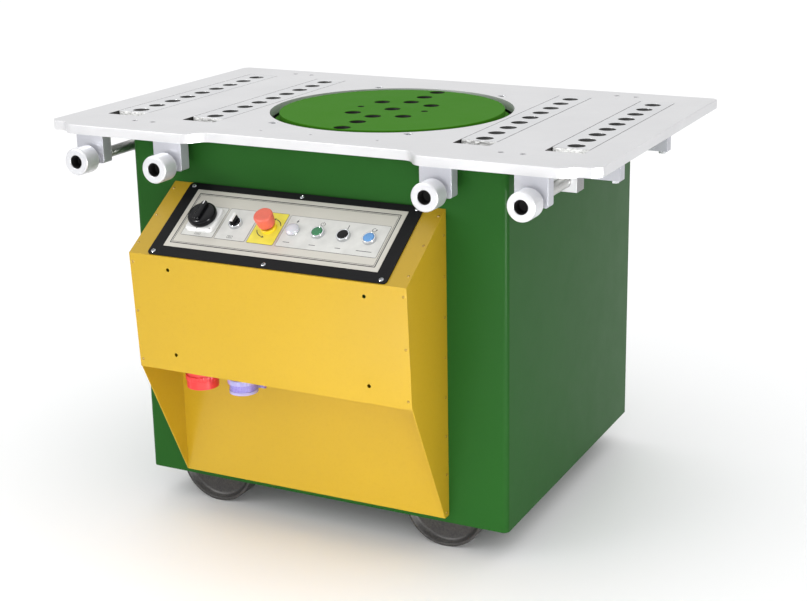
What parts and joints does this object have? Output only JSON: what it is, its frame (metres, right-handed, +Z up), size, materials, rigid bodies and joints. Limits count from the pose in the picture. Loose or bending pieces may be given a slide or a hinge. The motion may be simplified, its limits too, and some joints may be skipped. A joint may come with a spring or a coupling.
{
  "type": "rebar bender",
  "caption": "Wheeled cabinet bending machine: turning disc in a slotted table, sliding pin bars on screws with round handwheels, sloped front console with switches.",
  "frame": {"origin": "centre of the overall box in plan, on the floor under the wheels", "axes": "+X to the operator's right, +Y from the console to the rear, +Z up"},
  "size_m": [1.26, 0.9348, 0.85],
  "materials": {
    "table_steel": "ground steel plate, light grey",
    "zinc_fasteners": "bright zinc",
    "green_paint": "satin machine paint",
    "dark_steel": "oiled turned steel",
    "grey_cast": "painted castings",
    "black_plastic": "moulded, satin",
    "yellow_paint": "satin powder coat",
    "yellow_rivet": "painted over",
    "black_paint": "satin black",
    "face_plate": "fine brushed, warm grey",
    "white_plastic": "moulded",
    "chrome_ring": "bright",
    "yellow_plastic": "moulded",
    "red_plastic": "moulded",
    "violet_plastic": "moulded",
    "gear_steel": "cut gear steel",
    "green_plastic": "moulded",
    "blue_plastic": "moulded",
    "cast_bar": "cast bar, ground top, raw ends",
    "zinc_screw": "zinc plated screw",
    "turned_alloy": "turned, pale",
    "wheel_iron": "dark cast iron, dusty"
  },
  "bodies": {
    "machine": {"aux_socket": "violet_plastic", "axles": "dark_steel", "base_frame": "green_paint", "bearings": "dark_steel", "button_bezels": "chrome_ring", "cabinet_shell": "green_paint", "console_body": "yellow_paint", "console_cover": "yellow_paint", "console_rivets": "yellow_rivet", "contact_blocks": "black_plastic", "control_plate": "face_plate", "corner_posts": "green_paint", "fan_cowl": "black_plastic", "gear_case": "grey_cast", "gear_case_cover": "grey_cast", "guide_straps": "table_steel", "main_switch_base": "white_plastic", "motor_body": "grey_cast", "panel_frame": "black_paint", "panel_screws": "zinc_fasteners", "pilot_lamp": "white_plastic", "power_inlet": "red_plastic", "rear_panel": "green_paint", "rear_panel_screws": "zinc_fasteners", "reducer_body": "grey_cast", "screw_brackets": "table_steel", "selector_body": "chrome_ring", "stop_base": "yellow_plastic", "strap_bolts": "zinc_fasteners", "table_bolts": "zinc_fasteners", "table_plate": "table_steel"},
    "disc": {"bending_disc": "green_paint", "main_shaft": "dark_steel", "main_gear": "gear_steel"},
    "pinion": {"pinion_shaft": "gear_steel"},
    "rotor": {"motor_rotor": "gear_steel", "cooling_fan": "black_plastic"},
    "main_switch": {"main_switch_knob": "black_plastic"},
    "selector": {"selector_lever": "white_plastic"},
    "stop_head": {"stop_button": "red_plastic"},
    "green_cap": {"button_green": "green_plastic"},
    "black_cap": {"button_black": "black_plastic"},
    "blue_cap": {"button_blue": "blue_plastic"},
    "flap": {"socket_flap": "violet_plastic"},
    "bar_a": {"slide_bar_a": "cast_bar"},
    "screw_a": {"adjuster_screw_a": "zinc_screw", "handwheel_a": "turned_alloy"},
    "bar_b": {"slide_bar_b": "cast_bar"},
    "screw_b": {"adjuster_screw_b": "zinc_screw", "handwheel_b": "turned_alloy"},
    "bar_c": {"slide_bar_c": "cast_bar"},
    "screw_c": {"adjuster_screw_c": "zinc_screw", "handwheel_c": "turned_alloy"},
    "bar_d": {"slide_bar_d": "cast_bar"},
    "screw_d": {"adjuster_screw_d": "zinc_screw", "handwheel_d": "turned_alloy"},
    "road_wheel_front_left": {"wheel_front_left": "wheel_iron"},
    "road_wheel_front_right": {"wheel_front_right": "wheel_iron"},
    "road_wheel_rear_left": {"wheel_rear_left": "wheel_iron"},
    "road_wheel_rear_right": {"wheel_rear_right": "wheel_iron"}
  },
  "joints": [
    {"name": "disc_turn", "type": "hinge", "parent": "machine", "child": "disc", "pos_m": [0, 0.0762, 0.82], "axis": [0, 0, 1], "continuous": true},
    {"name": "pinion_turn", "type": "hinge", "parent": "machine", "child": "pinion", "pos_m": [0, 0.2637, 0.7], "axis": [0, 0, 1], "continuous": true},
    {"name": "rotor_turn", "type": "hinge", "parent": "machine", "child": "rotor", "pos_m": [0, 0.2637, 0.35], "axis": [0, 0, 1], "continuous": true},
    {"name": "bar_a_slide", "type": "slide", "parent": "machine", "child": "bar_a", "axis": [0, 1, 0], "range_m": [-0.036, 0]},
    {"name": "screw_a_turn", "type": "hinge", "parent": "machine", "child": "screw_a", "pos_m": [-0.5045, -0.3456, 0.782], "axis": [0, 1, 0], "range_deg": [0, 2592.5]},
    {"name": "bar_b_slide", "type": "slide", "parent": "machine", "child": "bar_b", "axis": [0, 1, 0], "range_m": [-0.036, 0]},
    {"name": "screw_b_turn", "type": "hinge", "parent": "machine", "child": "screw_b", "pos_m": [-0.3075, -0.3456, 0.782], "axis": [0, 1, 0], "range_deg": [0, 2592.5]},
    {"name": "bar_c_slide", "type": "slide", "parent": "machine", "child": "bar_c", "axis": [0, 1, 0], "range_m": [-0.036, 0]},
    {"name": "screw_c_turn", "type": "hinge", "parent": "machine", "child": "screw_c", "pos_m": [0.3075, -0.3456, 0.782], "axis": [0, 1, 0], "range_deg": [0, 2592.5]},
    {"name": "bar_d_slide", "type": "slide", "parent": "machine", "child": "bar_d", "axis": [0, 1, 0], "range_m": [-0.036, 0]},
    {"name": "screw_d_turn", "type": "hinge", "parent": "machine", "child": "screw_d", "pos_m": [0.5045, -0.3456, 0.782], "axis": [0, 1, 0], "range_deg": [0, 2592.5]},
    {"name": "wheel_front_left_roll", "type": "hinge", "parent": "machine", "child": "road_wheel_front_left", "pos_m": [-0.28, -0.2426, 0.09], "axis": [0, 1, 0], "continuous": true},
    {"name": "wheel_front_right_roll", "type": "hinge", "parent": "machine", "child": "road_wheel_front_right", "pos_m": [0.28, -0.2426, 0.09], "axis": [0, 1, 0], "continuous": true},
    {"name": "wheel_rear_left_roll", "type": "hinge", "parent": "machine", "child": "road_wheel_rear_left", "pos_m": [-0.28, 0.3968, 0.09], "axis": [0, 1, 0], "continuous": true},
    {"name": "wheel_rear_right_roll", "type": "hinge", "parent": "machine", "child": "road_wheel_rear_right", "pos_m": [0.28, 0.3968, 0.09], "axis": [0, 1, 0], "continuous": true},
    {"name": "main_switch_turn", "type": "hinge", "parent": "machine", "child": "main_switch", "pos_m": [-0.1963, -0.38537, 0.6883], "axis": [0, -0.5413, 0.8408], "range_deg": [-90, 0]},
    {"name": "selector_turn", "type": "hinge", "parent": "machine", "child": "selector", "pos_m": [-0.1228, -0.38537, 0.6883], "axis": [0, -0.5413, 0.8408], "range_deg": [-45, 45]},
    {"name": "stop_press", "type": "slide", "parent": "machine", "child": "stop_head", "axis": [0, 0.5413, -0.8408], "range_m": [0, 0.005]},
    {"name": "green_press", "type": "slide", "parent": "machine", "child": "green_cap", "axis": [0, 0.5413, -0.8408], "range_m": [0, 0.003], "stiffness_N_per_m": 400, "springref_m": -0.0005},
    {"name": "black_press", "type": "slide", "parent": "machine", "child": "black_cap", "axis": [0, 0.5413, -0.8408], "range_m": [0, 0.003], "stiffness_N_per_m": 400, "springref_m": -0.0005},
    {"name": "blue_press", "type": "slide", "parent": "machine", "child": "blue_cap", "axis": [0, 0.5413, -0.8408], "range_m": [0, 0.003], "stiffness_N_per_m": 400, "springref_m": -0.0005},
    {"name": "flap_swing", "type": "hinge", "parent": "machine", "child": "flap", "pos_m": [-0.121, -0.3506, 0.3303], "axis": [1, 0, 0], "range_deg": [0, 95], "stiffness_Nm_per_rad": 0.02, "springref_deg": -57.3}
  ],
  "couplings": [
    {"joint": "pinion_turn", "follows": "disc_turn", "ratio": -4},
    {"joint": "rotor_turn", "follows": "disc_turn", "ratio": -48},
    {"joint": "screw_a_turn", "follows": "bar_a_slide", "rad_per_m": -1256.6},
    {"joint": "screw_b_turn", "follows": "bar_b_slide", "rad_per_m": -1256.6},
    {"joint": "screw_c_turn", "follows": "bar_c_slide", "rad_per_m": -1256.6},
    {"joint": "screw_d_turn", "follows": "bar_d_slide", "rad_per_m": -1256.6}
  ]
}
